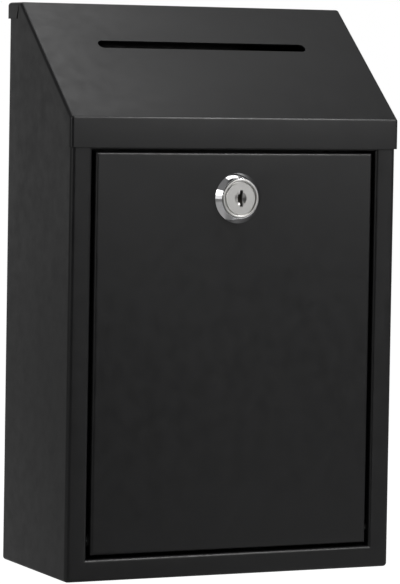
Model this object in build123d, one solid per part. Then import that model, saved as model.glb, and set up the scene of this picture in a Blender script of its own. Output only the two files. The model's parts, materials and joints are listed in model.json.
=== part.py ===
from build123d import *
import math
import os

# Lockable wall letterbox of folded sheet steel.
# X runs across the box, +Y points to the wall and +Z is up. All lengths are millimetres.
# Pieces are drawn with y = 0 on the front face and z = 0 on the base, then moved along Y
# so that the origin is the middle of the whole footprint, lock included.

# Sheet steel
sheet = 1.0
fold_radius = 1.0
front_corner_radius = 1.5
rest_gap = 0.2

# Case, as folded
case_width = 190.0
case_depth = 90.8
case_height = 302.5
front_height = 242.9
top_strip_depth = 18.0
rear_edge_width = 12.0
base_edge_width = 10.0
cover_clearance = 1.4

# Frame round the door opening
column_width = 12.0
sill_height = 11.8
header_height = 16.6
frame_return = 10.0

# Top cover
lip_height = 15.4
cover_skirt = 8.8
mitre_setback = 1.7
mitre_top_width = 0.35
mitre_bottom_width = 1.7

# Letter slot
slot_length = 123.4
slot_width = 6.2
slot_up_slope = 60.3

# Back panel and its wall holes
back_side_gap = 0.5
back_joggle_lap = 9.0
wall_hole_radius = 2.75
wall_hole_spacing_x = 120.0
wall_hole_spacing_z = 200.0
wall_hole_centre_z = 150.0

# Floor
floor_rear_fold = 11.0

# Door
door_side_gap = 2.0
door_sill_gap = 1.8
door_top_gap = 1.0
door_fold_depth = 12.0
corner_relief = 2.0

# Hinge at the door's lower corners
hinge_back = 6.0
hinge_rise = 8.0
pin_radius = 2.0
pin_head_radius = 3.5
pin_head_length = 1.5
pin_reach = 1.8
pin_running_gap = 0.06
bush_wall = 0.94
bush_flange_radius = 3.7
bush_end_gap = 1.4
bush_stand_in = 0.5

# Latch rail and door buffers
rail_end_gap = 4.0
rail_drop = 16.0
buffer_thickness = 1.3
buffer_radius = 3.4
buffer_from_door_side = 21.2
buffer_gap = 0.2

# Lock
lock_below_door_top = 24.4
lock_offset = 0.7
lock_stand_out = 4.0
collar_base_radius = 13.4
collar_front_radius = 10.75
collar_rim = 0.4
collar_length = 3.4
head_radius = 10.4
head_seat = 2.0
head_chamfer = 0.35
face_recess_radius = 9.1
face_recess_depth = 1.2
face_radius = 8.5
face_setback = 0.2
barrel_radius = 9.4
barrel_flats = 16.4
barrel_hole_gap = 0.1
core_radius = 6.0
core_running_gap = 0.06
axial_gap = 0.1
cam_slack = 0.5

# Keyway
keyway_height = 8.7
keyway_width = 1.7
keyway_offset = 0.45
keyway_depth = 13.5
key_dish_radius = 3.5
key_dish_depth = 1.9

# Wafers and their springs
wafer_count = 5
wafer_pitch = 2.2
wafer_first = 1.8
wafer_thickness = 1.0
wafer_width = 6.4
wafer_inset = 0.1
wafer_slot_gap = 0.05
wafer_window_gap = 0.15
spring_radius = 0.55
spring_length = 2.4
spring_offset = 4.0

# Turn stop
stop_thickness = 1.0
stop_radius = 6.4
stop_tab_radius = 9.0
stop_tab_angle = 36.0
turn_angle = 90.0
stop_play_angle = 1.0

# Cam and its screw
cam_thickness = 2.0
cam_length = 26.0
cam_hub_radius = 8.0
cam_width = 13.0
square_side = 7.0
square_shy = 0.2
cam_washer_thickness = 1.0
cam_washer_radius = 5.0
screw_radius = 2.4
screw_length = 7.0
screw_head_radius = 4.5
screw_head_length = 2.8
cross_width = 1.1
cross_length = 5.0
cross_depth = 1.6

# Nut and washer inside the door
nut_across_flats = 24.0
nut_thickness = 3.0
nut_bore_gap = 0.05
tooth_washer_radius = 12.6
tooth_washer_thickness = 0.8
tooth_count = 18
tooth_depth = 0.9

# Values worked out from the sizes above
outer_fold = fold_radius + sheet
case_half = case_width / 2
slope_run = case_depth - top_strip_depth
slope_angle = math.degrees(math.atan2(case_height - front_height, slope_run))
lip_bottom = front_height - lip_height
opening_top = front_height - header_height
opening_half = case_half - column_width
door_half = opening_half - door_side_gap
door_bottom = sill_height + door_sill_gap
door_top = opening_top - door_top_gap
hinge_y = hinge_back
hinge_z = door_bottom + hinge_rise
lock_z = door_top - lock_below_door_top
rail_front = door_fold_depth + buffer_gap + buffer_thickness
cam_front = rail_front + sheet + cam_slack
barrel_end = cam_front - axial_gap
stop_front = barrel_end - stop_thickness
cam_back = cam_front + cam_thickness
footprint_depth = lock_stand_out + case_depth + sheet
front_y = lock_stand_out - footprint_depth / 2

# Side view of the case top as (y, z) corners, from the lip up and over to the wall
case_line = [
    (0, lip_bottom),
    (0, front_height),
    (slope_run, case_height),
    (case_depth, case_height),
    (case_depth, lip_bottom),
]


def shifted(path, distance):
    """Corners of a line of straight runs after the line moves to its left by distance."""
    runs = [Vector(*end) - Vector(*start) for start, end in zip(path, path[1:])]
    normals = [Vector(-run.Y, run.X).normalized() for run in runs]
    bisectors = [normals[0]]
    for before, after in zip(normals, normals[1:]):
        bisectors.append((before + after) / (1 + before.dot(after)))
    bisectors.append(normals[-1])
    corners = [Vector(*point) + way * distance for point, way in zip(path, bisectors)]
    return [(corner.X, corner.Y) for corner in corners]


def side_prism(points, half_width):
    """Solid with a side view given as (y, z) corners, reaching half_width each way in X."""
    outline = Plane.YZ * make_face(Polyline(*points, close=True))
    return extrude(outline, amount=half_width, both=True)


def block(x_range, y_range, z_range):
    """Box between a low and a high value on each axis."""
    size = [high - low for low, high in (x_range, y_range, z_range)]
    middle = [(high + low) / 2 for low, high in (x_range, y_range, z_range)]
    return Pos(*middle) * Box(*size)


def turned(profile):
    """Solid of revolution about an axis along Y at the lock's height, from (radius, y) corners."""
    face = make_face(Polyline(*profile, close=True))
    return Pos(0, 0, lock_z) * revolve(face, axis=Axis.Y)


def rod_along_y(radius, y_range):
    """Round rod along Y at the lock's height, between two depths."""
    low, high = y_range
    return turned([(0, low), (radius, low), (radius, high), (0, high)])


def rod_along_x(radius, x_range, y, z):
    """Round rod along X at a given depth and height."""
    low, high = x_range
    return Pos((low + high) / 2, y, z) * Rot(0, 90, 0) * Cylinder(radius, high - low)


def folded(path, half_width, thickness=sheet, radius=fold_radius):
    """Sheet folded along (y, z) corners on its left face, with its metal to the right."""
    inner = shifted(path, -thickness)
    left_radii = []
    right_radii = []
    for before, corner, after in zip(path, path[1:], path[2:]):
        first = Vector(*corner) - Vector(*before)
        second = Vector(*after) - Vector(*corner)
        turns_right = first.cross(second).Z < 0
        left_radii.append(radius + thickness if turns_right else radius)
        right_radii.append(radius if turns_right else radius + thickness)
    left = FilletPolyline(*path, radius=left_radii)
    right = FilletPolyline(*inner, radius=right_radii)
    ends = [Line(path[0], inner[0]), Line(path[-1], inner[-1])]
    outline = Plane.YZ * make_face([*left.edges(), *right.edges(), *ends])
    return extrude(outline, amount=half_width, both=True)


def both_sides(piece):
    """A piece on the right of the box and its mirror image on the left."""
    return {"right": piece, "left": mirror(piece, about=Plane.YZ)}


def make_case_wrap():
    """Front frame, sides, rear edges and base edges, folded from one sheet."""
    top = [(y, z - cover_clearance) for y, z in case_line[1:4]]
    outside = side_prism([(0, 0), *top, (case_depth, 0)], case_half)
    inside = block(
        (-case_half + sheet, case_half - sheet),
        (sheet, case_depth - sheet),
        (sheet, case_height + sheet),
    )
    outside = round_case_edges(outside, case_half, 0, case_depth, 0, sheet)
    inside = round_case_edges(inside, case_half - sheet, sheet, case_depth - sheet, sheet, 0)
    wrap = outside - inside

    rear_half = case_half - rear_edge_width
    base_half = case_half - base_edge_width
    beyond = 2 * sheet
    wrap -= block(
        (-rear_half, rear_half),
        (case_depth - beyond, case_depth + sheet),
        (-sheet, case_height),
    )
    wrap -= block((-base_half, base_half), (base_edge_width, case_depth), (-sheet, beyond))

    wrap += block(
        (-opening_half - sheet, opening_half + sheet),
        (0, frame_return),
        (sill_height - sheet, opening_top + sheet),
    )
    wrap -= block(
        (-opening_half, opening_half),
        (-sheet, frame_return + sheet),
        (sill_height, opening_top),
    )
    wrap = fillet(opening_edges(wrap, 0, 0), outer_fold)
    wrap = fillet(opening_edges(wrap, sheet, sheet), fold_radius)

    hole = rod_along_x(pin_radius, (opening_half - sheet, opening_half + 2 * sheet), hinge_y, hinge_z)
    for pin_hole in both_sides(hole).values():
        wrap -= pin_hole
    return wrap


def round_case_edges(solid, half, front, back, base, extra):
    """Folds on a case solid: upright edges at front and rear, and three base edges."""

    def is_upright(edge, y):
        middle = edge.center()
        on_corner = abs(abs(middle.X) - half) < 0.01 and abs(middle.Y - y) < 0.01
        return on_corner and edge.bounding_box().size.Z > front_height / 2

    def is_base(edge):
        box = edge.bounding_box()
        on_base = abs(box.max.Z - base) < 0.01
        return on_base and box.min.Y < back - 0.01

    solid = fillet([e for e in solid.edges() if is_upright(e, front)], front_corner_radius + extra)
    solid = fillet([e for e in solid.edges() if is_upright(e, back)], fold_radius + extra)
    return fillet([e for e in solid.edges() if is_base(e)], fold_radius + extra)


def opening_edges(wrap, y, spread):
    """Edges round the door opening at depth y, spread out by the sheet or not at all."""
    found = []
    for edge in wrap.edges():
        box = edge.bounding_box()
        level = max(abs(box.min.Y - y), abs(box.max.Y - y)) < 0.01
        across = max(abs(box.min.X), abs(box.max.X)) < opening_half + spread + 0.01
        low = box.min.Z > sill_height - spread - 0.01
        high = box.max.Z < opening_top + spread + 0.01
        if level and across and low and high:
            found.append(edge)
    return found


def make_back_panel():
    """Rear sheet, stepped forward at its top edge to lap under the cover's flange."""
    panel_top = case_height + sheet - cover_skirt - rest_gap
    panel_half = case_half - outer_fold - back_side_gap
    step_half = case_half - rear_edge_width - back_side_gap
    rear = case_depth + sheet
    panel = block((-panel_half, panel_half), (case_depth, rear), (outer_fold, panel_top))
    step = [
        (case_depth, panel_top - back_joggle_lap),
        (case_depth, panel_top),
        (case_depth, case_height - cover_clearance),
        (case_depth - sheet, case_height - cover_clearance),
        (case_depth - sheet, panel_top - back_joggle_lap),
    ]
    panel += side_prism(step, step_half)
    for x in (-wall_hole_spacing_x / 2, wall_hole_spacing_x / 2):
        for z in (-wall_hole_spacing_z / 2, wall_hole_spacing_z / 2):
            hole = Rot(90, 0, 0) * Cylinder(wall_hole_radius, 4 * sheet)
            panel -= Pos(x, case_depth, wall_hole_centre_z + z) * hole
    return panel


def make_bottom_panel():
    """Floor sheet that lies on the case's base edges, folded up along the back panel."""
    edge_gap = outer_fold + rest_gap
    floor_half = case_half - edge_gap
    fold_half = case_half - rear_edge_width - back_side_gap
    floor = block(
        (-floor_half, floor_half),
        (edge_gap, case_depth - edge_gap),
        (sheet, 2 * sheet),
    )
    path = [
        (case_depth, sheet + floor_rear_fold),
        (case_depth, sheet),
        (case_depth - rear_edge_width, sheet),
    ]
    return floor + folded(path, fold_half)


def make_top_cover():
    """Sloped cover with its lip, side skirts and rear flange, and the letter slot."""
    outer = side_prism(shifted(case_line, sheet), case_half + sheet)
    outer = fillet(cover_edges(outer), outer_fold)
    below = lip_bottom - 2 * sheet
    line = [(0, below), *case_line[1:4], (case_depth, below)]
    inner = fillet(cover_edges(side_prism(line, case_half)), fold_radius)
    cover = outer - inner

    skirt = shifted(case_line, sheet - cover_skirt)
    flange_bottom = case_height + sheet - cover_skirt
    beyond = case_depth + 4 * sheet
    window = [
        (skirt[0][0], below),
        skirt[1],
        skirt[2],
        (beyond, flange_bottom),
        (beyond, below),
    ]
    cover -= side_prism(window, case_half + 2 * sheet)

    start = Vector(*shifted(case_line, sheet)[1])
    rise = Vector(math.cos(math.radians(slope_angle)), math.sin(math.radians(slope_angle)))
    middle = start + rise * slot_up_slope
    slope = Plane(origin=(0, middle.X, middle.Y), x_dir=(1, 0, 0), z_dir=(0, -rise.Y, rise.X))
    cover -= extrude(slope * SlotOverall(slot_length, slot_width), amount=3 * sheet, both=True)

    corner = Vector(*shifted(case_line, sheet)[2])
    half_turn = math.radians(slope_angle / 2)
    down = Vector(math.sin(half_turn), -math.cos(half_turn))
    along = Vector(math.cos(half_turn), math.sin(half_turn))
    head = corner + along * mitre_setback + down * outer_fold
    foot = corner + along * mitre_setback + down * (cover_skirt + 2 * sheet)
    slit = [
        (head + along * (mitre_top_width / 2)),
        (foot + along * (mitre_bottom_width / 2)),
        (foot - along * (mitre_bottom_width / 2)),
        (head - along * (mitre_top_width / 2)),
    ]
    wedge = side_prism([(point.X, point.Y) for point in slit], case_half + 2 * sheet)
    middle_part = side_prism([(point.X, point.Y) for point in slit], case_half)
    return cover - (wedge - middle_part)


def cover_edges(solid):
    """Folds of the cover: every edge that is not along its open underside."""
    low = solid.bounding_box().min.Z
    return [edge for edge in solid.edges() if edge.center().Z > low + 0.1]


def make_latch_rail():
    """Angle on top of the frame's upper return, with the edge that the cam turns behind."""
    top = opening_top + 2 * sheet
    path = [
        (outer_fold + rest_gap, top),
        (rail_front + sheet, top),
        (rail_front + sheet, top - rail_drop),
    ]
    return folded(path, opening_half - rail_end_gap)


def make_door_buffer():
    """Right-hand rubber pad below the rail's fold, that the door's upper fold closes against."""
    height = opening_top + sheet - fold_radius - rest_gap - buffer_radius
    pad = Pos(door_half - buffer_from_door_side, rail_front - buffer_thickness / 2, height)
    pad *= Rot(90, 0, 0) * Cylinder(buffer_radius, buffer_thickness)
    front = pad.edges().group_by(Axis.Y)[0]
    return chamfer(front, buffer_thickness / 3)


def make_hinge_pin():
    """Right-hand rivet pin, headed inside the frame's column."""
    inner_end = door_half - sheet - pin_reach
    outer_end = opening_half + sheet
    pin = rod_along_x(pin_radius, (inner_end, outer_end), hinge_y, hinge_z)
    head_end = outer_end + pin_head_length
    head = rod_along_x(pin_head_radius, (outer_end, head_end), hinge_y, hinge_z)
    head = fillet(head.edges().group_by(Axis.X)[-1], pin_head_length / 2)
    return chamfer((pin + head).edges().group_by(Axis.X)[0], pin_radius / 4)


def make_hinge_bush():
    """Right-hand flanged bush, pressed into the door's side fold."""
    bore = pin_radius + pin_running_gap
    inner_end = door_half - sheet - bush_stand_in
    shank = rod_along_x(bore + bush_wall, (inner_end, door_half), hinge_y, hinge_z)
    flange_end = opening_half - bush_end_gap
    flange = rod_along_x(bush_flange_radius, (door_half, flange_end), hinge_y, hinge_z)
    flange = chamfer(flange.edges().group_by(Axis.X)[-1], bush_wall / 2)
    return shank + flange - rod_along_x(bore, (inner_end - 1, flange_end + 1), hinge_y, hinge_z)


def make_door_panel():
    """Door pan: a flat face with four edges folded back, holed for the lock and bushes."""
    outside = block((-door_half, door_half), (0, door_fold_depth), (door_bottom, door_top))
    outside = fillet(outside.edges().group_by(Axis.Y)[0], outer_fold)
    inside = block(
        (-door_half + sheet, door_half - sheet),
        (sheet, 2 * door_fold_depth),
        (door_bottom + sheet, door_top - sheet),
    )
    inside = fillet(inside.edges().group_by(Axis.Y)[0], fold_radius)
    pan = outside - inside

    back_of_fold = (outer_fold + rest_gap, door_fold_depth + sheet)
    for x in (-door_half, door_half):
        for z in (door_bottom, door_top):
            size = 2 * corner_relief
            pan -= Pos(x, sum(back_of_fold) / 2, z) * Box(
                size, back_of_fold[1] - back_of_fold[0], size
            )

    hole = rod_along_y(barrel_radius + barrel_hole_gap, (-sheet, 2 * sheet))
    flats = barrel_flats / 2 + barrel_hole_gap
    pan -= on_lock_axis(hole & block((-flats, flats), (-sheet, 2 * sheet), (0, case_height)))

    bush = pin_radius + pin_running_gap + bush_wall
    seat = rod_along_x(bush, (door_half - 2 * sheet, door_half + sheet), hinge_y, hinge_z)
    for bush_hole in both_sides(seat).values():
        pan -= bush_hole
    return pan


def on_lock_axis(piece):
    """A lock piece drawn on the box's middle, moved out to the lock's own axis."""
    return Pos(lock_offset, 0, 0) * piece


def make_lock_collar():
    """Conical collar on the door's face, recessed for the head of the lock."""
    return turned([
        (barrel_radius + barrel_hole_gap, 0),
        (collar_base_radius, 0),
        (collar_base_radius, -collar_rim),
        (collar_front_radius, -collar_length),
        (head_radius + barrel_hole_gap, -collar_length),
        (head_radius + barrel_hole_gap, -head_seat),
        (barrel_radius + barrel_hole_gap, -head_seat),
    ])


def make_lock_housing():
    """Lock body: front ring, barrel with two flats, and the pocket for the turn stop."""
    front = -lock_stand_out
    bore = core_radius + core_running_gap
    recess_end = front + face_recess_depth
    head = turned([
        (bore, recess_end),
        (face_recess_radius, recess_end),
        (face_recess_radius, front + head_chamfer),
        (face_recess_radius + head_chamfer, front),
        (head_radius - head_chamfer, front),
        (head_radius, front + head_chamfer),
        (head_radius, -head_seat),
        (bore, -head_seat),
    ])
    barrel = rod_along_y(barrel_radius, (-head_seat, barrel_end))
    flats = barrel_flats / 2
    barrel &= block((-flats, flats), (-head_seat, barrel_end), (0, case_height))
    barrel -= rod_along_y(bore, (-head_seat, barrel_end))

    floor = stop_front - axial_gap
    pocket = rod_along_y(stop_radius + rest_gap, (floor, barrel_end))
    sector = turn_angle + stop_tab_angle + 2 * stop_play_angle
    start = -stop_tab_angle / 2 - stop_play_angle
    pocket += ring_sector(barrel_radius + rest_gap, floor, barrel_end, start, sector)
    return head + barrel - pocket


def ring_sector(radius, low, high, start, angle):
    """Pie slice about the same axis as turned, its angles counted from the left over the top."""
    first = Plane.XY * make_face(Polyline((0, low), (-radius, low), (-radius, high), (0, high), close=True))
    slice_solid = revolve(Rot(0, start, 0) * first, axis=Axis.Y, revolution_arc=angle)
    return Pos(0, 0, lock_z) * slice_solid


def make_lock_washer():
    """Toothed washer between the door's inner face and the nut."""
    low, high = sheet, sheet + tooth_washer_thickness
    washer = rod_along_y(tooth_washer_radius, (low, high))
    washer -= rod_along_y(barrel_radius + barrel_hole_gap, (low, high))
    notch = Pos(tooth_washer_radius, (low + high) / 2, lock_z)
    notch *= Rot(90, 0, 0) * Cylinder(tooth_depth, 2 * tooth_washer_thickness)
    for step in range(tooth_count):
        turn = Pos(0, 0, lock_z) * Rot(0, step * 360 / tooth_count, 0) * Pos(0, 0, -lock_z)
        washer -= turn * notch
    return washer


def make_lock_nut():
    """Hexagon nut on the barrel."""
    low = sheet + tooth_washer_thickness
    face = Plane.XZ.offset(-low) * RegularPolygon(nut_across_flats / 2, 6, major_radius=False)
    nut = Pos(0, 0, lock_z) * extrude(face, amount=-nut_thickness)
    return nut - rod_along_y(barrel_radius + nut_bore_gap, (low, low + nut_thickness))


def make_lock_plug():
    """Turning cylinder with its face, keyway, wafer slots and the square for the cam."""
    face_front = -lock_stand_out + face_setback
    face_back = -lock_stand_out + face_recess_depth - axial_gap
    plug = rod_along_y(face_radius, (face_front, face_back))
    plug = chamfer(plug.edges().group_by(Axis.Y)[0], face_setback)
    plug += rod_along_y(core_radius, (face_back, stop_front))
    square_end = cam_back - square_shy
    half = square_side / 2
    plug += block((-half, half), (stop_front, square_end), (lock_z - half, lock_z + half))
    plug -= rod_along_y(screw_radius, (cam_back + cam_washer_thickness - screw_length, square_end))

    dish = [(0, face_front), (key_dish_radius, face_front), (0, face_front + key_dish_depth)]
    plug -= turned(dish)
    key_end = face_front + keyway_depth
    quarter = keyway_height / 4
    for side, height in ((1, quarter), (-1, 0), (1, -quarter)):
        slot = Pos(side * keyway_offset, (face_front + key_end) / 2, lock_z + height)
        plug -= slot * Box(keyway_width, key_end - face_front, keyway_height / 2)

    for y in wafer_depths():
        slot_half = wafer_width / 2 + wafer_slot_gap
        deep = wafer_thickness / 2 + wafer_slot_gap
        plug -= block(
            (-slot_half, slot_half),
            (y - deep, y + deep),
            (lock_z - core_radius, lock_z + core_radius),
        )
        plug -= spring_at(y, spring_radius + wafer_slot_gap)
    return plug


def wafer_depths():
    """Depth of each wafer's middle behind the lock's head."""
    return [-head_seat + wafer_first + step * wafer_pitch for step in range(wafer_count)]


def spring_at(y, radius):
    """Upright rod beside a wafer, in the plug's right-hand side."""
    return Pos(spring_offset, y, lock_z) * Cylinder(radius, spring_length)


def make_wafer_tumblers():
    """Flat wafers with a key window each, drawn back flush with the plug."""
    wafers = []
    reach = core_radius - wafer_inset
    window_width = 2 * (keyway_offset + keyway_width / 2 + wafer_window_gap)
    window_height = keyway_height + 2 * wafer_window_gap
    for y in wafer_depths():
        y_range = (y - wafer_thickness / 2, y + wafer_thickness / 2)
        half = wafer_width / 2
        plate = block((-half, half), y_range, (lock_z - reach, lock_z + reach))
        plate &= rod_along_y(reach, y_range)
        plate -= Pos(0, y, lock_z) * Box(window_width, 2 * wafer_thickness, window_height)
        wafers.append(plate)
    return Compound(children=[wafer.solid() for wafer in wafers])


def make_wafer_springs():
    """Small springs beside the wafers, as plain rods of the springs' outer size."""
    return Compound(children=[spring_at(y, spring_radius).solid() for y in wafer_depths()])


def make_stop_washer():
    """Washer on the square, with the tab that meets the pocket's ends."""
    washer = rod_along_y(stop_radius, (stop_front, barrel_end))
    tab = ring_sector(stop_tab_radius, stop_front, barrel_end, -stop_tab_angle / 2, stop_tab_angle)
    return washer + tab - square_hole(stop_front, barrel_end)


def square_hole(low, high):
    """Square that fits the end of the plug."""
    half = square_side / 2
    return block((-half, half), (low, high), (lock_z - half, lock_z + half))


def make_lock_cam():
    """Lever that points to the left when unlocked and up when locked."""
    arm = cam_length - cam_width / 2
    outline = Circle(cam_hub_radius)
    outline += Pos(-arm / 2, 0) * Rectangle(arm, cam_width)
    outline += Pos(-arm, 0) * Circle(cam_width / 2)
    plate = Pos(0, 0, lock_z) * extrude(Plane.XZ.offset(-cam_front) * outline, amount=-cam_thickness)
    return plate - square_hole(cam_front, cam_back)


def make_cam_washer():
    """Washer under the cam screw's head."""
    y_range = (cam_back, cam_back + cam_washer_thickness)
    return rod_along_y(cam_washer_radius, y_range) - rod_along_y(screw_radius, y_range)


def make_cam_screw():
    """Cross-head screw that holds the cam on the plug."""
    seat = cam_back + cam_washer_thickness
    end = seat + screw_head_length
    head = rod_along_y(screw_head_radius, (seat, end))
    head = fillet(head.edges().group_by(Axis.Y)[-1], screw_head_length / 2)
    head -= Pos(0, end - cross_depth / 2, lock_z) * Box(cross_width, cross_depth, cross_length)
    head -= Pos(0, end - cross_depth / 2, lock_z) * Box(cross_length, cross_depth, cross_width)
    return head + rod_along_y(screw_radius, (seat - screw_length, seat))


def all_pieces():
    """Every piece by its node's name."""
    pieces = {
        "case_wrap": make_case_wrap(),
        "back_panel": make_back_panel(),
        "bottom_panel": make_bottom_panel(),
        "top_cover": make_top_cover(),
        "latch_rail": make_latch_rail(),
        "door_panel": make_door_panel(),
    }
    lock = {
        "lock_collar": make_lock_collar(),
        "lock_housing": make_lock_housing(),
        "lock_washer": make_lock_washer(),
        "lock_nut": make_lock_nut(),
        "lock_plug": make_lock_plug(),
        "wafer_tumblers": make_wafer_tumblers(),
        "wafer_springs": make_wafer_springs(),
        "stop_washer": make_stop_washer(),
        "lock_cam": make_lock_cam(),
        "cam_washer": make_cam_washer(),
        "cam_screw": make_cam_screw(),
    }
    handed = {
        "door_buffer": make_door_buffer(),
        "hinge_pin": make_hinge_pin(),
        "hinge_bush": make_hinge_bush(),
    }
    for name, piece in lock.items():
        pieces[name] = on_lock_axis(piece)
    for name, piece in handed.items():
        for side, copy in both_sides(piece).items():
            pieces[f"{name}_{side}"] = copy
    return pieces


os.makedirs("parts", exist_ok=True)
for node, piece in all_pieces().items():
    export_step(Pos(0, front_y, 0) * piece, f"parts/{node}.step")
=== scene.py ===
"""Looks of a lockable wall letterbox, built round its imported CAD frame.

The sheet metal and the small pieces are copies of the CAD with softened edges. The lock's collar,
body, nut, washer and springs are worked out again as surfaces. Their lengths are millimetres
until a mesh is written. The studio, its lamps and the world are in metres.
"""

import json
import logging
import math
from dataclasses import dataclass
from enum import Enum
from typing import Optional, Sequence

import bmesh
import bpy
import numpy as np
from mathutils import Matrix, Vector


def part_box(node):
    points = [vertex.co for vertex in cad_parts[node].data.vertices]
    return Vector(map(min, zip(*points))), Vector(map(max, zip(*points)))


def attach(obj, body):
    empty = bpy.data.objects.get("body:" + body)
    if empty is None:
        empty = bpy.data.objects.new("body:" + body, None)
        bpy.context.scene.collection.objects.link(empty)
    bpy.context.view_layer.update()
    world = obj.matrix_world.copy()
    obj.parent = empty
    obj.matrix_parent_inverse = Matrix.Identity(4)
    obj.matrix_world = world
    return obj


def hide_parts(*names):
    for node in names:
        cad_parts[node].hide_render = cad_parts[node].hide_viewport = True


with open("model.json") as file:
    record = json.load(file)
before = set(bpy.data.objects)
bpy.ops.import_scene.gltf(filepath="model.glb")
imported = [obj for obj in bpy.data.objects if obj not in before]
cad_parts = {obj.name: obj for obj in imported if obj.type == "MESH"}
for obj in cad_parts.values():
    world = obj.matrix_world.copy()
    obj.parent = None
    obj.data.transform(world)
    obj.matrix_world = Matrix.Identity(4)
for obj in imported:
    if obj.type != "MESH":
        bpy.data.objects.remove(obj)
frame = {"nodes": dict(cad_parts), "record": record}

MM = 0.001
TURN = 2 * math.pi
PHOTO_HEIGHT = 584
WHITE = (1.0, 1.0, 1.0, 1.0)

# Points of a computed surface that lie closer than this, in millimetres, are one point.
MERGE_MM = 0.001

# Nearly all of a Noise texture's values lie in this span.
NOISE_LOW, NOISE_HIGH = 0.3, 0.7

# Numbers of the Mix node's sockets for colours.
MIX_SHARE, MIX_FIRST, MIX_SECOND, MIX_RESULT = 0, 6, 7, 2

# Width and height, in millimetres, of the fine unevenness of a plain finish.
UNEVEN_MM, UNEVEN_DEPTH_MM = 0.9, 0.004

# The least cosine that the lock body's flats are divided by, so that they stay finite.
LEAST_COSINE = 0.01

log = logging.getLogger("letterbox")


class Slot(Enum):
    """The record's material slots."""

    POWDER = "black_powder_coat"
    CHROME = "polished_chrome"
    NICKEL = "satin_nickel"
    ZINC = "zinc_plated_steel"
    STEEL = "plain_steel"
    BRASS = "wafer_brass"
    NYLON = "black_nylon"
    RUBBER = "buffer_rubber"


class NodeGraph:
    """A node tree in the making."""

    def __init__(self, tree: bpy.types.NodeTree) -> None:
        """Clears the tree and keeps it.

        Args:
            tree: The material's or world's node tree.
        """
        self.tree = tree
        tree.nodes.clear()

    def add(self, kind: str, inputs: Optional[dict] = None, **settings: object) -> bpy.types.Node:
        """Adds a node.

        Args:
            kind: The node's Blender type.
            inputs: For each socket's name or number, a value, or another node's output to link.
            settings: The node's own properties.

        Returns:
            The new node.
        """
        node = self.tree.nodes.new(kind)
        for name, value in settings.items():
            setattr(node, name, value)
        for key, value in (inputs or {}).items():
            if isinstance(value, bpy.types.NodeSocket):
                self.tree.links.new(value, node.inputs[key])
            else:
                node.inputs[key].default_value = value
        return node

    def math(self, operation: str, *values: object) -> bpy.types.NodeSocket:
        """Adds a Math node and returns its output; values are numbers or sockets."""
        node = self.add("ShaderNodeMath", dict(enumerate(values)), operation=operation)
        return node.outputs[0]

    def noise(
        self, place: bpy.types.NodeSocket, cell_mm: float, detail: float = 2.0
    ) -> bpy.types.NodeSocket:
        """Noise from 0 to 1 whose lumps are about cell_mm across, at a place in metres."""
        inputs = {"Vector": place, "Scale": 1 / (cell_mm * MM), "Detail": detail}
        return self.add("ShaderNodeTexNoise", inputs).outputs[0]

    def spread(self, value: bpy.types.NodeSocket, low: float, high: float) -> bpy.types.NodeSocket:
        """Maps the usual span of a noise to low and high."""
        inputs = {"Value": value, "From Min": NOISE_LOW, "From Max": NOISE_HIGH}
        return self.add("ShaderNodeMapRange", {**inputs, "To Min": low, "To Max": high}).outputs[0]

    def bump(
        self,
        height: bpy.types.NodeSocket,
        depth_mm: float,
        before: Optional[bpy.types.NodeSocket] = None,
    ) -> bpy.types.NodeSocket:
        """Bends the normal by a height.

        Args:
            height: The height, from 0 to 1.
            depth_mm: What a height of 1 stands for.
            before: A normal that is bent already.

        Returns:
            The bent normal.
        """
        inputs = {"Height": height, "Distance": depth_mm * MM, "Strength": 1.0}
        if before is not None:
            inputs["Normal"] = before
        return self.add("ShaderNodeBump", inputs).outputs[0]


@dataclass(frozen=True)
class Finish:
    """A surface finish and how its shader is made.

    Attributes:
        slot: The material slot it stands for.
        colour: Base colour, linear.
        roughness: Middle roughness.
        metallic: 1 for bare metal, 0 for a coat or plastic.
        colour_spread: Share by which the colour varies over the surface.
        roughness_spread: Amount by which the roughness varies.
        patch_mm: Size of the patches that vary.
    """

    slot: Slot
    colour: tuple[float, float, float]
    roughness: float
    metallic: float = 0.0
    colour_spread: float = 0.12
    roughness_spread: float = 0.05
    patch_mm: float = 14.0

    def material(self) -> bpy.types.Material:
        """Makes the finish's material.

        Returns:
            A node material named after the slot.
        """
        made = bpy.data.materials.new(self.slot.value)
        made.use_nodes = True
        graph = NodeGraph(made.node_tree)
        place = graph.add("ShaderNodeTexCoord").outputs["Object"]
        patches = graph.noise(place, self.patch_mm, detail=3.0)
        dark, light = (
            [channel * (1 + way * self.colour_spread) for channel in self.colour] + [1.0]
            for way in (-1, 1)
        )
        share = graph.spread(patches, 0.0, 1.0)
        ends = {MIX_SHARE: share, MIX_FIRST: dark, MIX_SECOND: light}
        mix = graph.add("ShaderNodeMix", ends, data_type="RGBA")
        wear = graph.noise(place, self.patch_mm / 2, detail=4.0)
        low = self.roughness - self.roughness_spread
        high = self.roughness + self.roughness_spread
        inputs = {
            "Base Color": mix.outputs[MIX_RESULT],
            "Metallic": self.metallic,
            "Roughness": graph.spread(wear, low, high),
            "Normal": self.relief(graph, place),
        }
        shader = graph.add("ShaderNodeBsdfPrincipled", inputs)
        graph.add("ShaderNodeOutputMaterial", {"Surface": shader.outputs[0]})
        return made

    def relief(self, graph: NodeGraph, place: bpy.types.NodeSocket) -> bpy.types.NodeSocket:
        """Normal of the surface: the finish's own fine unevenness.

        Args:
            graph: The material's nodes.
            place: Object coordinates.

        Returns:
            The normal's socket.
        """
        return graph.bump(graph.noise(place, UNEVEN_MM), UNEVEN_DEPTH_MM)


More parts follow.
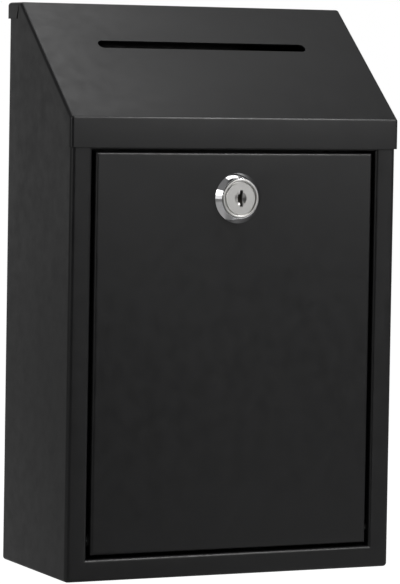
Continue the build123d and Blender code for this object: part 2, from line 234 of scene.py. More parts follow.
@dataclass(frozen=True)
class PowderCoat(Finish):
    """Baked powder: a satin skin with a shallow orange-peel and a finer grain.

    Attributes:
        peel_mm: Width of the orange-peel's swells.
        peel_depth_mm: Their height.
        grain_mm: Width of the fine grain.
        grain_depth_mm: Its height.
    """

    peel_mm: float = 2.2
    peel_depth_mm: float = 0.012
    grain_mm: float = 0.35
    grain_depth_mm: float = 0.0035

    def relief(self, graph: NodeGraph, place: bpy.types.NodeSocket) -> bpy.types.NodeSocket:
        """Two sizes of swell, the coarse one under the fine one."""
        peel = graph.bump(graph.noise(place, self.peel_mm), self.peel_depth_mm)
        return graph.bump(graph.noise(place, self.grain_mm), self.grain_depth_mm, peel)


@dataclass(frozen=True)
class TurnedMetal(Finish):
    """Metal with the fine rings that a lathe or a polishing wheel leaves round the lock's axis.

    It is even in colour and in roughness, in smaller patches than other finishes.

    Attributes:
        axis_mm: Place of the lock's axis, as (x, z).
        ring_mm: Width of one ring.
        ring_depth_mm: Depth of one ring.
    """

    metallic: float = 1.0
    colour_spread: float = 0.02
    roughness_spread: float = 0.02
    patch_mm: float = 4.0
    axis_mm: tuple[float, float] = (0.0, 0.0)
    ring_mm: float = 0.2
    ring_depth_mm: float = 0.0015

    def relief(self, graph: NodeGraph, place: bpy.types.NodeSocket) -> bpy.types.NodeSocket:
        """Rings whose height is a noise of the distance from the axis alone.

        Args:
            graph: The material's nodes.
            place: Object coordinates.

        Returns:
            The normal's socket.
        """
        shift = (-self.axis_mm[0] * MM, 0.0, -self.axis_mm[1] * MM)
        centred = graph.add("ShaderNodeVectorMath", {0: place, 1: shift}, operation="ADD")
        upright = {0: centred.outputs[0], 1: (1.0, 0.0, 1.0)}
        flat = graph.add("ShaderNodeVectorMath", upright, operation="MULTIPLY")
        radius = graph.add("ShaderNodeVectorMath", {0: flat.outputs[0]}, operation="LENGTH")
        rings = graph.add(
            "ShaderNodeTexNoise",
            {"W": radius.outputs["Value"], "Scale": 1 / (self.ring_mm * MM), "Detail": 3.0},
            noise_dimensions="1D",
        )
        return graph.bump(rings.outputs[0], self.ring_depth_mm)


def rounded(
    corners: Sequence[tuple[float, float]], radii: Sequence[float], steps: int = 5
) -> np.ndarray:
    """A closed outline with its corners rounded.

    At each corner, an arc touches both sides at radius / tan(half the corner's angle). Its points
    turn evenly, about the arc's centre, from one touching point to the other.

    Args:
        corners: The outline's corners, in order.
        radii: The arc's radius at each corner.
        steps: How many points each arc has.

    Returns:
        The outline's points, one row each.
    """
    corner = np.asarray(corners, float)
    radius = np.asarray(radii, float)[:, None]
    back = np.roll(corner, 1, 0) - corner
    on = np.roll(corner, -1, 0) - corner
    back /= np.linalg.norm(back, axis=1, keepdims=True)
    on /= np.linalg.norm(on, axis=1, keepdims=True)
    half = np.arccos(np.clip((back * on).sum(1, keepdims=True), -1.0, 1.0)) / 2
    middle = (back + on) / np.linalg.norm(back + on, axis=1, keepdims=True)
    centre = corner + middle * radius / np.sin(half)
    first = corner + back * radius / np.tan(half) - centre
    last = corner + on * radius / np.tan(half) - centre
    turn = np.pi - 2 * half[:, :, None]
    share = np.linspace(0.0, 1.0, steps)[None, :, None]
    arc = np.sin((1 - share) * turn) * first[:, None] + np.sin(share * turn) * last[:, None]
    return (centre[:, None] + arc / np.sin(turn)).reshape(-1, 2)


def grid_faces(rows: int, columns: int, rows_wrap: bool) -> np.ndarray:
    """Four-sided faces of a grid of points counted row by row.

    The last column joins the first.

    Args:
        rows: How many rows the grid has.
        columns: How many columns it has.
        rows_wrap: Whether the last row joins the first.

    Returns:
        Four point numbers for each face.
    """
    starts = np.arange(rows - (not rows_wrap))
    row, column = np.meshgrid(starts, np.arange(columns), indexing="ij")
    below, beside = (row + 1) % rows, (column + 1) % columns
    corners = (row, column), (below, column), (below, beside), (row, beside)
    return np.stack([r * columns + c for r, c in corners], -1).reshape(-1, 4)


def show(name: str, mesh: bpy.types.Mesh, sharp_angle: float) -> bpy.types.Object:
    """Shades a mesh smooth up to an angle and puts it in the scene.

    Args:
        name: The piece's name.
        mesh: Its mesh.
        sharp_angle: Degrees between faces past which their edge stays crisp.

    Returns:
        The piece.
    """
    mesh.polygons.foreach_set("use_smooth", np.ones(len(mesh.polygons), bool))
    mesh.set_sharp_from_angle(angle=math.radians(sharp_angle))
    piece = bpy.data.objects.new(name, mesh)
    bpy.context.scene.collection.objects.link(piece)
    return piece


def surface(
    name: str, points: np.ndarray, rows_wrap: bool = False, sharp_angle: float = 35.0
) -> bpy.types.Object:
    """A piece whose skin is one or more grids of points, each closed from column to column.

    Args:
        name: The piece's name.
        points: Places in millimetres, by row and column, or by grid, row and column.
        rows_wrap: Whether the last row joins the first.
        sharp_angle: Degrees between faces past which their edge stays crisp.

    Returns:
        The piece, with doubles merged and faces outwards.
    """
    grids = points if points.ndim == 4 else points[None]
    count, rows, columns = grids.shape[:3]
    one = grid_faces(rows, columns, rows_wrap)
    faces = (one[None] + np.arange(count)[:, None, None] * rows * columns).reshape(-1, 4)
    mesh = bpy.data.meshes.new(name)
    mesh.from_pydata((grids.reshape(-1, 3) * MM).tolist(), [], faces.tolist())
    shape = bmesh.new()
    shape.from_mesh(mesh)
    bmesh.ops.remove_doubles(shape, verts=shape.verts, dist=MERGE_MM * MM)
    bmesh.ops.recalc_face_normals(shape, faces=shape.faces)
    shape.to_mesh(mesh)
    shape.free()
    return show(name, mesh, sharp_angle)


@dataclass(frozen=True)
class LockAxis:
    """The lock's axis, which runs back through the door.

    Attributes:
        x: Its place across the box, in millimetres.
        face: The door's front face, in millimetres.
        z: Its height, in millimetres.
    """

    x: float
    face: float
    z: float

    @classmethod
    def from_frame(cls) -> "LockAxis":
        """Reads the axis from the box of the lock's collar, whose back lies on the door."""
        low, high = (np.array(corner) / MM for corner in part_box("lock_collar"))
        middle = (low + high) / 2
        return cls(middle[0], high[1], middle[2])

    def around(self, radius: np.ndarray, depth: np.ndarray, angle: np.ndarray) -> np.ndarray:
        """Places about the axis.

        The place is x + radius * cos(angle), face + depth, z + radius * sin(angle).

        Args:
            radius: Distance from the axis.
            depth: Distance behind the door's face.
            angle: Turn from +X towards +Z, in radians.

        Returns:
            One place for each radius, depth and angle.
        """
        radius, depth, angle = np.broadcast_arrays(radius, depth, angle)
        across, up = radius * np.cos(angle), radius * np.sin(angle)
        return np.stack((self.x + across, self.face + depth, self.z + up), -1)

    def lathe(self, name: str, profile: np.ndarray, steps: int = 128) -> bpy.types.Object:
        """A turned ring: a closed outline of (radius, depth) points carried round the axis.

        Args:
            name: The piece's name.
            profile: The outline.
            steps: How many times the outline is repeated round the axis.

        Returns:
            The ring.
        """
        angle = np.linspace(0.0, TURN, steps, endpoint=False)[:, None]
        return surface(name, self.around(profile[:, 0], profile[:, 1], angle), rows_wrap=True)


@dataclass(frozen=True)
class LockCollar:
    """Polished conical collar round the lock's head.

    Attributes:
        bore: Radius of the hole for the barrel.
        base: Radius on the door.
        rim: Height of the upright rim on the door.
        front: Radius of the cone's front.
        length: How far the cone stands out.
        seat: Radius of the recess for the head.
        seat_depth: How far the recess's floor stands out.
        edges: Radii of its edges, from the bore's on the door to the base and on round.
    """

    bore: float = 9.5
    base: float = 13.4
    rim: float = 0.4
    front: float = 10.75
    length: float = 3.4
    seat: float = 10.5
    seat_depth: float = 2.0
    edges: tuple[float, ...] = (0.05, 0.12, 0.5, 0.13, 0.1, 0.05, 0.1)

    def build(self, axis: LockAxis) -> bpy.types.Object:
        """Turns the collar: the cone is straight, and its edges are polished round.

        Args:
            axis: The lock's axis.

        Returns:
            The collar.
        """
        corners = [
            (self.bore, 0.0),
            (self.base, 0.0),
            (self.base, -self.rim),
            (self.front, -self.length),
            (self.seat, -self.length),
            (self.seat, -self.seat_depth),
            (self.bore, -self.seat_depth),
        ]
        return axis.lathe("turned_collar", rounded(corners, self.edges))


@dataclass(frozen=True)
class LockHousing:
    """Lock body: a satin front ring and a threaded barrel with two flats.

    Attributes:
        front: How far the ring's face stands out.
        ring: Radius of the front ring.
        recess: Radius of the recess that the plug's face turns in.
        recess_depth: Depth of that recess.
        lip: Radius of the ring's rounded lips.
        recess_edge: Radius of the edge between the recess and its floor.
        head_edge: Radius of the edge at the back of the head.
        head_seat: How far out the back of the head lies.
        barrel: Radius of the thread's crests.
        flats: Half of the distance between the flats.
        bore: Radius of the bore for the plug.
        pitch: Distance from one thread to the next.
        thread: Depth of the thread.
        plain: Length of the plain neck behind the head.
        end: Depth of the barrel's end behind the door's face.
        stop_floor: Depth of the floor that the turn stop runs on.
        stop_bore: Radius of the pocket for the turn stop.
        stop_open: First and last angle of the pocket's open side, in degrees from +X over +Z.
        steps_round: Even steps round the barrel.
        steps_along: Points along the thread.
    """

    front: float = 4.0
    ring: float = 10.4
    recess: float = 9.1
    recess_depth: float = 1.2
    lip: float = 0.35
    recess_edge: float = 0.1
    head_edge: float = 0.05
    head_seat: float = 2.0
    barrel: float = 9.4
    flats: float = 8.2
    bore: float = 6.06
    pitch: float = 1.0
    thread: float = 0.5
    plain: float = 1.6
    end: float = 14.9
    stop_floor: float = 13.8
    stop_bore: float = 6.6
    stop_open: tuple[float, float] = (71.0, 199.0)
    steps_round: int = 180
    steps_along: int = 170

    def angles(self) -> tuple[np.ndarray, np.ndarray]:
        """Angles round the barrel, with two at each side of the pocket's opening.

        Returns:
            The angles, and at each one the depth of the barrel's end.
        """
        first, last = np.radians(self.stop_open)
        even = np.linspace(0.0, TURN, self.steps_round, endpoint=False)
        angle = np.sort(np.concatenate([even, [first, first, last, last]]))
        inside = (angle > first) & (angle < last)
        steps = np.flatnonzero(np.isin(angle, [first, last]))
        inside[steps] = [False, True, True, False]
        return angle, np.where(inside, self.stop_floor, self.end)

    def build(self, axis: LockAxis) -> bpy.types.Object:
        """Computes the body on a grid: angles, and stations from the bore over the ring and back.

        The thread's radius falls from the crest by thread * (1 + cos(2 pi (depth / pitch -
        turns))) / 2, so that it winds on by one pitch in each turn. The flats cut it at
        flats / |cos(angle)|.

        Args:
            axis: The lock's axis.

        Returns:
            The lock body.
        """
        angle, end = self.angles()
        angle, end = angle[:, None], end[:, None]
        ring_floor = self.recess_depth - self.front
        head = rounded(
            [
                (self.recess, ring_floor),
                (self.recess, -self.front),
                (self.ring, -self.front),
                (self.ring, -self.head_seat),
            ],
            [self.recess_edge, self.lip, self.lip, self.head_edge],
        )
        neck = -self.head_seat + self.plain
        share = np.linspace(0.0, 1.0, self.steps_along)[None]
        depth = neck + (end - neck) * share
        wave = 1 + np.cos(TURN * (depth / self.pitch - angle / TURN))
        run_in = np.clip((depth - neck) / self.pitch, 0.0, 1.0)
        crest = self.barrel - self.thread * run_in * wave / 2
        flat = self.flats / np.maximum(np.abs(np.cos(angle)), LEAST_COSINE)
        threads = np.minimum(crest, flat)
        wide = np.ones_like(angle)
        neck_radius = np.minimum(self.barrel, flat)
        stations = [
            (self.bore * wide, ring_floor * wide),
            (head[:, 0] * wide, head[:, 1] * wide),
            (neck_radius, -self.head_seat * wide),
            (threads, depth),
            (np.minimum(self.stop_bore, flat), end),
            (np.minimum(self.stop_bore, flat), self.stop_floor * wide),
            (self.bore * wide, self.stop_floor * wide),
        ]
        radius, depth = (np.concatenate(rows, 1) for rows in zip(*stations))
        places = axis.around(radius, depth, angle)
        return surface("threaded_lock_body", places, rows_wrap=True)


@dataclass(frozen=True)
class LockNut:
    """Hexagon nut with turned corners.

    Attributes:
        flats: Half of the distance across the flats.
        front: Depth of its front face behind the door's face.
        thickness: Its thickness.
        bore: Radius of its bore.
        corner: Radius of its faces, inside the turned corners.
        corner_slope: How steeply the turned corners fall.
        chamfer: Width of the chamfers at the bore's ends.
        steps_round: Steps round the nut.
        steps_deep: Points through its thickness.
        sharp_angle: Degrees past which an edge counts as crisp.
    """

    flats: float = 12.0
    front: float = 1.8
    thickness: float = 3.0
    bore: float = 9.45
    corner: float = 12.1
    corner_slope: float = 1.73
    chamfer: float = 0.4
    steps_round: int = 240
    steps_deep: int = 25
    sharp_angle: float = 25.0

    def build(self, axis: LockAxis) -> bpy.types.Object:
        """Computes the nut: flats / cos(angle from the flat's middle), cut by a cone at each face.

        Args:
            axis: The lock's axis.

        Returns:
            The nut.
        """
        angle = np.linspace(0.0, TURN, self.steps_round, endpoint=False)[:, None]
        sixth = TURN / 6
        across = self.flats / np.cos(angle % sixth - sixth / 2)
        share = np.linspace(0.0, 1.0, self.steps_deep)[None]
        depth = self.thickness * share
        near = np.minimum(depth, self.thickness - depth)
        outer = np.minimum(across, self.corner + self.corner_slope * near)
        inner = self.bore + np.array([[self.chamfer, 0.0, 0.0, self.chamfer]])
        back = self.thickness
        inner_depth = np.array([[back, back - self.chamfer, self.chamfer, 0.0]])
        wide = np.ones_like(angle)
        radius = np.concatenate([outer, inner * wide], 1)
        depths = np.concatenate([depth * wide, inner_depth * wide], 1)
        places = axis.around(radius, self.front + depths, angle)
        return surface("turned_nut", places, rows_wrap=True, sharp_angle=self.sharp_angle)


@dataclass(frozen=True)
class ToothedWasher:
    """Lock washer whose teeth are twisted.

    Attributes:
        front: Depth of its front behind the door's face.
        room: Depth that the twisted teeth take up.
        bore: Radius of its hole.
        root: Radius between the teeth.
        tip: Radius of the teeth.
        thickness: Thickness of its steel.
        teeth: How many teeth it has.
        steepness: How steeply a tooth's sides rise.
        steps_tooth: Steps round for each tooth.
        steps_out: Points from the bore to the edge.
    """

    front: float = 1.0
    room: float = 0.8
    bore: float = 9.5
    root: float = 11.4
    tip: float = 12.55
    thickness: float = 0.5
    teeth: int = 18
    steepness: float = 2.5
    steps_tooth: int = 24
    steps_out: int = 9

    def build(self, axis: LockAxis) -> bpy.types.Object:
        """Computes the washer: a square wave of the angle for its edge, and a sine for the twist.

        Args:
            axis: The lock's axis.

        Returns:
            The washer.
        """
        angle = np.linspace(0.0, TURN, self.teeth * self.steps_tooth, endpoint=False)[:, None]
        wave = np.clip(0.5 + self.steepness * np.cos(self.teeth * angle), 0.0, 1.0)
        edge = self.root + (self.tip - self.root) * wave
        share = np.linspace(0.0, 1.0, self.steps_out)[None]
        radius = self.bore + (edge - self.bore) * share
        start = (self.root + self.bore) / 2
        bend = np.clip((radius - start) / (self.tip - start), 0.0, 1.0)
        swing = (self.room - self.thickness) / 2
        middle = self.front + self.room / 2 + swing * bend * np.sin(self.teeth * angle)
        half = self.thickness / 2
        depth = np.concatenate([middle - half, (middle + half)[:, ::-1]], 1)
        places = axis.around(np.concatenate([radius, radius[:, ::-1]], 1), depth, angle)
        return surface("toothed_washer", places, rows_wrap=True)


@dataclass(frozen=True)
class WaferSprings:
    """Coil springs beside the wafers, upright in the plug.

    Attributes:
        count: How many springs there are.
        first: Depth of the first behind the door's face.
        pitch: Distance from one to the next.
        offset: How far they stand to the right of the axis.
        length: Their length.
        radius: Outer radius of the coil.
        wire: Radius of the wire.
        coils: Turns in each spring.
        steps_coil: Steps along each turn.
        steps_wire: Steps round the wire.
    """

    count: int = 5
    first: float = -0.2
    pitch: float = 2.2
    offset: float = 4.0
    length: float = 2.4
    radius: float = 0.55
    wire: float = 0.09
    coils: int = 6
    steps_coil: int = 16
    steps_wire: int = 8

    def build(self, axis: LockAxis) -> bpy.types.Object:
        """Computes each spring: the wire's circle carried up a helix, and closed at its ends.

        Args:
            axis: The lock's axis.

        Returns:
            The springs, as one piece.
        """
        turn = np.linspace(0.0, 1.0, self.coils * self.steps_coil + 1)[:, None]
        angle = TURN * self.coils * turn
        around = np.linspace(0.0, TURN, self.steps_wire, endpoint=False)[None]
        girth = self.wire * np.ones_like(turn)
        girth[[0, -1]] = 0.0
        coil = self.radius - self.wire
        out = coil + girth * np.cos(around)
        rise = (self.length / 2 - self.wire) * (2 * turn - 1) + girth * np.sin(around)
        depths = self.first + self.pitch * np.arange(self.count)
        shape = (self.count, *out.shape)
        x = axis.x + self.offset + out * np.cos(angle)
        y = axis.face + depths[:, None, None] + out * np.sin(angle)
        z = np.broadcast_to(axis.z + rise, shape)
        return surface("coil_springs", np.stack([np.broadcast_to(x, shape), y, z], -1))


@dataclass(frozen=True)
class SoftenedCopy:
    """Copy of a CAD piece whose crisp edges are softened, as a coat or tumbling leaves them.

    Attributes:
        edge_mm: Width of the softened edge.
        segments: Faces across the softened edge.
        sharp_angle: Degrees past which an edge counts as crisp.
        flat_angle: Degrees up to which neighbouring faces count as one flat face.
        merge_mm: Points closer than this are one point.
    """

    edge_mm: float = 0.2
    segments: int = 2
    sharp_angle: float = 32.0
    flat_angle: float = 0.5
    merge_mm: float = 0.002

    def build(self, node: str, name: str) -> bpy.types.Object:
        """Copies a node's mesh, merges it, joins its flat faces and bevels its crisp edges.

        Args:
            node: The CAD node.
            name: The new piece's name.

        Returns:
            The piece.
        """
        mesh = frame["nodes"][node].data.copy()
        mesh.name = name
        mesh.materials.clear()
        if "custom_normal" in mesh.attributes:
            mesh.attributes.remove(mesh.attributes["custom_normal"])
        shape = bmesh.new()
        shape.from_mesh(mesh)
        bmesh.ops.remove_doubles(shape, verts=shape.verts, dist=self.merge_mm * MM)
        bmesh.ops.dissolve_limit(
            shape,
            angle_limit=math.radians(self.flat_angle),
            verts=shape.verts,
            edges=shape.edges,
            use_dissolve_boundaries=False,
        )
        shape.to_mesh(mesh)
        shape.free()
        piece = show(name, mesh, self.sharp_angle)
        bevel = piece.modifiers.new("soft_edges", "BEVEL")
        bevel.width = self.edge_mm * MM
        bevel.segments = self.segments
        bevel.limit_method = "ANGLE"
        bevel.angle_limit = math.radians(self.sharp_angle)
        bevel.harden_normals = True
        bevel.use_clamp_overlap = True
        return piece


def fit(
    piece: bpy.types.Object, body: str, slot: Slot, material: bpy.types.Material, *nodes: str
) -> None:
    """Hangs a piece on its body in place of CAD nodes, and dresses it.

    Args:
        piece: The piece.
        body: The body that it moves with.
        slot: Its material slot.
        material: Its material.
        nodes: The CAD nodes that it stands for.
    """
    piece.data.materials.clear()
    piece.data.materials.append(material)
    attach(piece, body)
    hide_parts(*nodes)
    faces = len(piece.data.polygons)
    log.info("piece %s for %s on %s, %d faces", piece.name, ", ".join(nodes), body, faces)


def build_lock(axis: LockAxis, materials: dict[Slot, bpy.types.Material]) -> None:
    """Builds the lock's computed pieces.

    Args:
        axis: The lock's axis.
        materials: A material for each slot.
    """
    rows = [
        (LockCollar(), "door", Slot.CHROME, "lock_collar"),
        (LockHousing(), "door", Slot.NICKEL, "lock_housing"),
        (LockNut(), "door", Slot.ZINC, "lock_nut"),
        (ToothedWasher(), "door", Slot.ZINC, "lock_washer"),
        (WaferSprings(), "lock_core", Slot.STEEL, "wafer_springs"),
    ]
    for made, body, slot, node in rows:
        fit(made.build(axis), body, slot, materials[slot], node)


def build_sheets(materials: dict[Slot, bpy.types.Material]) -> None:
    """Builds the softened sheet pieces.

    Args:
        materials: A material for each slot.
    """
    rows = [
        ("case_wrap", "coated_case", "case"),
        ("top_cover", "coated_cover", "case"),
        ("back_panel", "coated_back", "case"),
        ("bottom_panel", "coated_floor", "case"),
        ("latch_rail", "coated_latch_rail", "case"),
        ("door_panel", "coated_door", "door"),
    ]
    for node, name, body in rows:
        fit(SoftenedCopy().build(node, name), body, Slot.POWDER, materials[Slot.POWDER], node)


def build_small_pieces(materials: dict[Slot, bpy.types.Material]) -> None:
    """Builds the softened small pieces of the lock, the hinge and the door's stops.

    Args:
        materials: A material for each slot.
    """
    rows = [
        ("stop_washer", "tumbled_stop_washer", "lock_core", Slot.ZINC, 0.1),
        ("lock_cam", "tumbled_cam", "lock_core", Slot.ZINC, 0.2),
        ("cam_washer", "tumbled_cam_washer", "lock_core", Slot.ZINC, 0.08),
        ("cam_screw", "tumbled_cam_screw", "lock_core", Slot.ZINC, 0.12),
        ("hinge_bush_left", "moulded_bush_left", "door", Slot.NYLON, 0.1),
        ("hinge_bush_right", "moulded_bush_right", "door", Slot.NYLON, 0.1),
        ("hinge_pin_left", "headed_pin_left", "case", Slot.STEEL, 0.12),
        ("hinge_pin_right", "headed_pin_right", "case", Slot.STEEL, 0.12),
        ("door_buffer_left", "rubber_pad_left", "case", Slot.RUBBER, 0.4),
        ("door_buffer_right", "rubber_pad_right", "case", Slot.RUBBER, 0.4),
    ]
    for node, name, body, slot, edge_mm in rows:
        fit(SoftenedCopy(edge_mm).build(node, name), body, slot, materials[slot], node)


@dataclass(frozen=True)
class Lamp:
    """A soft rectangular lamp.

    Attributes:
        name: Its object's name.
        place: Its middle, in metres.
        side: Its width and height, in metres.
        power: Its power, in watts.
        target: The point that it faces, in metres.
    """

    name: str
    place: tuple[float, float, float]
    side: tuple[float, float]
    power: float
    target: tuple[float, float, float] = (0.0, 0.0, 0.2)

    def add(self) -> None:
        """Adds the lamp, unseen by the camera."""
        data = bpy.data.lights.new(self.name, "AREA")
        data.shape = "RECTANGLE"
        data.size, data.size_y = self.side
        data.energy = self.power
        lamp = bpy.data.objects.new(self.name, data)
        lamp.location = self.place
        way = Vector(self.target) - Vector(self.place)
        lamp.rotation_mode = "QUATERNION"
        lamp.rotation_quaternion = way.to_track_quat("-Z", "Y")
        lamp.visible_camera = False
        bpy.context.scene.collection.objects.link(lamp)


@dataclass(frozen=True)
class Studio:
    """Pale floor, white surround and soft lamps.

    Attributes:
        floor_reach: Half of the floor's side, in metres.
        floor_colour: How much light the floor gives back.
        floor_drop: How far the floor lies under the base, in metres.
        floor_lift: Brightness added where the floor is seen near the object.
        lift_near: Distance from the object, in metres, at which that brightness starts to rise.
        lift_far: Distance, in metres, at which it is 1 and joins the surround.
        sky: Brightness of the surround where it lights the object.
        gloss_share: Share of the white surround in what gloss sees.
        dim_way: Level direction of the dim side of the room, in front and to the left.
        dim_share: Part of that white that is missing on the dim side.
        dim_cosines: Cosines of the angles from dim_way at which the white starts to fall, and
            has fallen; they are those of about 45 and 25 degrees.
    """

    floor_reach: float = 4.0
    floor_colour: float = 0.5
    floor_drop: float = 0.13
    floor_lift: float = 0.9
    lift_near: float = 0.5
    lift_far: float = 2.2
    sky: float = 0.02
    gloss_share: float = 0.17
    dim_way: tuple[float, float, float] = (-0.3, -0.954, 0.0)
    dim_share: float = 1.0
    dim_cosines: tuple[float, float] = (0.7, 0.9)
    lamps: Sequence[Lamp] = (
        Lamp("lamp_above", (-0.02, 0.1, 1.0), (0.5, 0.5), 1.3),
        Lamp("lamp_above_right", (0.35, 0.25, 1.3), (0.6, 0.6), 0.45),
        Lamp("lamp_bends", (0.431, -0.62, 0.941), (0.25, 0.25), 4.3),
        Lamp("lamp_front_low", (0.75, -1.6, 0.75), (0.9, 0.9), 5.0),
        Lamp("lamp_back_left", (-0.7, 1.7, 0.35), (1.0, 0.7), 0.3),
        Lamp("lamp_back_right", (0.6, 1.6, 0.6), (0.9, 0.9), 3.0),
        Lamp("lamp_left_front", (-1.25, -0.45, 0.635), (0.5, 0.43), 2.0),
        Lamp("lamp_left_low", (-1.25, -0.45, 0.27), (0.5, 0.3), 0.35),
    )

    def build(self) -> None:
        """Sets the view transform and adds the surround, the floor and the lamps."""
        bpy.context.scene.view_settings.view_transform = "Standard"
        self.surround()
        self.floor()
        for lamp in self.lamps:
            lamp.add()
            log.info("lamp %s", lamp.name)

    def gloss(self, graph: NodeGraph, way: bpy.types.NodeSocket) -> bpy.types.NodeSocket:
        """Share of the white that gloss sees in a direction.

        The share is gloss_share, and falls smoothly by dim_share towards the dim side.

        Args:
            graph: The nodes of the surround or the floor.
            way: The direction, or the floor's place seen from the object.

        Returns:
            The share.
        """
        flat = {0: way, 1: (1.0, 1.0, 0.0)}
        level = graph.add("ShaderNodeVectorMath", flat, operation="MULTIPLY")
        unit = graph.add("ShaderNodeVectorMath", {0: level.outputs[0]}, operation="NORMALIZE")
        pair = {0: unit.outputs[0], 1: self.dim_way}
        turned = graph.add("ShaderNodeVectorMath", pair, operation="DOT_PRODUCT")
        inputs = {
            "Value": turned.outputs["Value"],
            "From Min": self.dim_cosines[0],
            "From Max": self.dim_cosines[1],
            "To Min": self.gloss_share,
            "To Max": self.gloss_share * (1 - self.dim_share),
        }
        return graph.add("ShaderNodeMapRange", inputs, interpolation_type="SMOOTHSTEP").outputs[0]

    def seen_share(self, graph: NodeGraph, way: bpy.types.NodeSocket) -> bpy.types.NodeSocket:
        """Share of the white that a ray sees: all of it for the camera, and part for gloss.

        Args:
            graph: The nodes of the surround or the floor.
            way: The direction, or the floor's place seen from the object.

        Returns:
            The share, from 0 to 1.
        """
        seen = graph.add("ShaderNodeLightPath").outputs
        gloss = graph.math("MULTIPLY", seen["Is Glossy Ray"], self.gloss(graph, way))
        share = graph.math("ADD", seen["Is Camera Ray"], seen["Is Transmission Ray"])
        return graph.math("MINIMUM", graph.math("ADD", share, gloss), 1.0)

    def surround(self) -> None:
        """White world where it is seen, and a soft dim one where it lights."""
        world = bpy.data.worlds.new("surround")
        bpy.context.scene.world = world
        world.use_nodes = True
        graph = NodeGraph(world.node_tree)
        share = self.seen_share(graph, graph.add("ShaderNodeTexCoord").outputs["Generated"])
        soft = graph.add("ShaderNodeBackground", {"Color": WHITE, "Strength": self.sky})
        white = graph.add("ShaderNodeBackground", {"Color": WHITE, "Strength": 1.0})
        ends = {0: share, 1: soft.outputs[0], 2: white.outputs[0]}
        both = graph.add("ShaderNodeMixShader", ends)
        graph.add("ShaderNodeOutputWorld", {"Surface": both.outputs[0]})

    def floor(self) -> None:
        """Plain floor some way under the object's base, which keeps the object's shadow."""
        signs = ((-1, -1), (1, -1), (1, 1), (-1, 1))
        reach = self.floor_reach
        corners = [(x * reach, y * reach, -self.floor_drop) for x, y in signs]
        mesh = bpy.data.meshes.new("floor")
        mesh.from_pydata(corners, [], [(0, 1, 2, 3)])
        floor = bpy.data.objects.new("floor", mesh)
        bpy.context.scene.collection.objects.link(floor)
        paint = bpy.data.materials.new("pale_floor")
        paint.use_nodes = True
        graph = NodeGraph(paint.node_tree)
        grey = [self.floor_colour] * 3 + [1.0]
        matt = graph.add("ShaderNodeBsdfDiffuse", {"Color": grey})
        place = graph.add("ShaderNodeTexCoord").outputs["Object"]
        away = graph.add("ShaderNodeVectorMath", {0: place}, operation="LENGTH").outputs["Value"]
        rise = {"Value": away, "From Min": self.lift_near, "From Max": self.lift_far}
        level = graph.add("ShaderNodeMapRange", {**rise, "To Min": self.floor_lift}).outputs[0]
        lift = graph.math("MULTIPLY", self.seen_share(graph, place), level)
        glow = graph.add("ShaderNodeEmission", {"Strength": lift})
        both = graph.add("ShaderNodeAddShader", {0: matt.outputs[0], 1: glow.outputs[0]})
        graph.add("ShaderNodeOutputMaterial", {"Surface": both.outputs[0]})
        mesh.materials.append(paint)


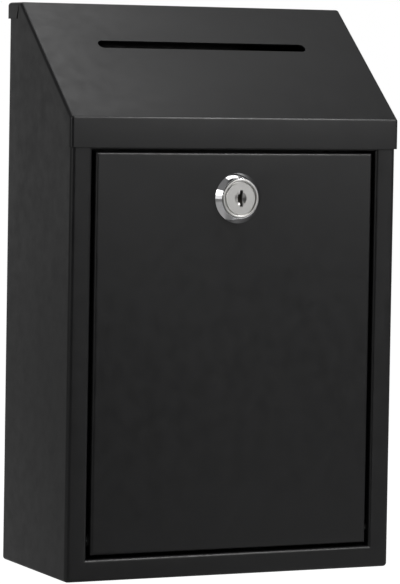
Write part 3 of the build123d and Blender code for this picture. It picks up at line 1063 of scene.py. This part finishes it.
@dataclass(frozen=True)
class PhotoCamera:
    """Camera at the photograph's viewing angle.

    Attributes:
        place_mm: Its place from the box's middle, the door's front face and the base's height.
        turn: Degrees that it looks to the right of straight back.
        tilt: Degrees that it looks down.
        roll: Degrees that it leans to the left.
        focal_px: Its focal length in the photograph's pixels.
        axis_rise_px: How far its axis lies above the photograph's middle.
        sensor: Its sensor's longer side, in millimetres.
    """

    place_mm: tuple[float, float, float] = (-750.22, -1586.14, 267.32)
    turn: float = 24.685
    tilt: float = 2.416
    roll: float = 0.9625
    focal_px: float = 3308.4
    axis_rise_px: float = 80.0
    sensor: float = 36.0

    def add(self) -> None:
        """Adds the camera and makes it the scene's."""
        data = bpy.data.cameras.new("photo_camera")
        data.sensor_width = self.sensor
        data.lens = self.focal_px / PHOTO_HEIGHT * self.sensor
        data.shift_y = -self.axis_rise_px / PHOTO_HEIGHT
        camera = bpy.data.objects.new("photo_camera", data)
        turn, tilt, roll = (math.radians(a) for a in (self.turn, self.tilt, self.roll))
        level = Vector((math.sin(turn), math.cos(turn), 0.0))
        right = Vector((math.cos(turn), -math.sin(turn), 0.0))
        forward = level * math.cos(tilt) - Vector((0.0, 0.0, math.sin(tilt)))
        up = right.cross(forward)
        leaned_right = right * math.cos(roll) + up * math.sin(roll)
        leaned_up = up * math.cos(roll) - right * math.sin(roll)
        axes = Matrix((leaned_right, leaned_up, -forward)).transposed()
        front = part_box("door_panel")[0].y
        place = Vector(self.place_mm) * MM + Vector((0.0, front, 0.0))
        camera.matrix_world = Matrix.Translation(place) @ axes.to_4x4()
        bpy.context.scene.collection.objects.link(camera)
        bpy.context.scene.camera = camera


def finishes(axis_mm: tuple[float, float]) -> dict[Slot, Finish]:
    """The finish of each material slot.

    Args:
        axis_mm: Place of the lock's axis, as (x, z).

    Returns:
        A finish for each slot.
    """
    polished = {"axis_mm": axis_mm, "ring_mm": 0.6, "ring_depth_mm": 0.001}
    made = [
        PowderCoat(Slot.POWDER, (0.0105, 0.0105, 0.011), 0.36),
        TurnedMetal(Slot.CHROME, (0.8, 0.8, 0.81), 0.07, **polished),
        TurnedMetal(Slot.NICKEL, (0.78, 0.77, 0.75), 0.33, axis_mm=axis_mm),
        Finish(Slot.ZINC, (0.6, 0.61, 0.63), 0.32, metallic=1.0),
        Finish(Slot.STEEL, (0.5, 0.5, 0.5), 0.35, metallic=1.0),
        Finish(Slot.BRASS, (0.2, 0.17, 0.12), 0.4, metallic=1.0),
        Finish(Slot.NYLON, (0.03, 0.03, 0.03), 0.45),
        Finish(Slot.RUBBER, (0.04, 0.04, 0.04), 0.75),
    ]
    return {finish.slot: finish for finish in made}


def dress_cad(materials: dict[Slot, bpy.types.Material]) -> None:
    """Gives every CAD node the material of its slot.

    Args:
        materials: A material for each slot.
    """
    for part in frame["record"]["subparts"]:
        node = frame["nodes"][part["node"]]
        for place in node.material_slots:
            place.material = materials[Slot(part["material_slot"])]
        log.info("CAD node %s in %s", node.name, part["material_slot"])


def main() -> None:
    """Builds the finishes, the pieces, the studio and the camera."""
    logging.basicConfig(level=logging.INFO, format="%(message)s")
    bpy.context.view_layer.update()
    axis = LockAxis.from_frame()
    materials = {slot: finish.material() for slot, finish in finishes((axis.x, axis.z)).items()}
    dress_cad(materials)
    build_lock(axis, materials)
    build_sheets(materials)
    build_small_pieces(materials)
    Studio().build()
    PhotoCamera().add()


if __name__ == "__main__":
    main()
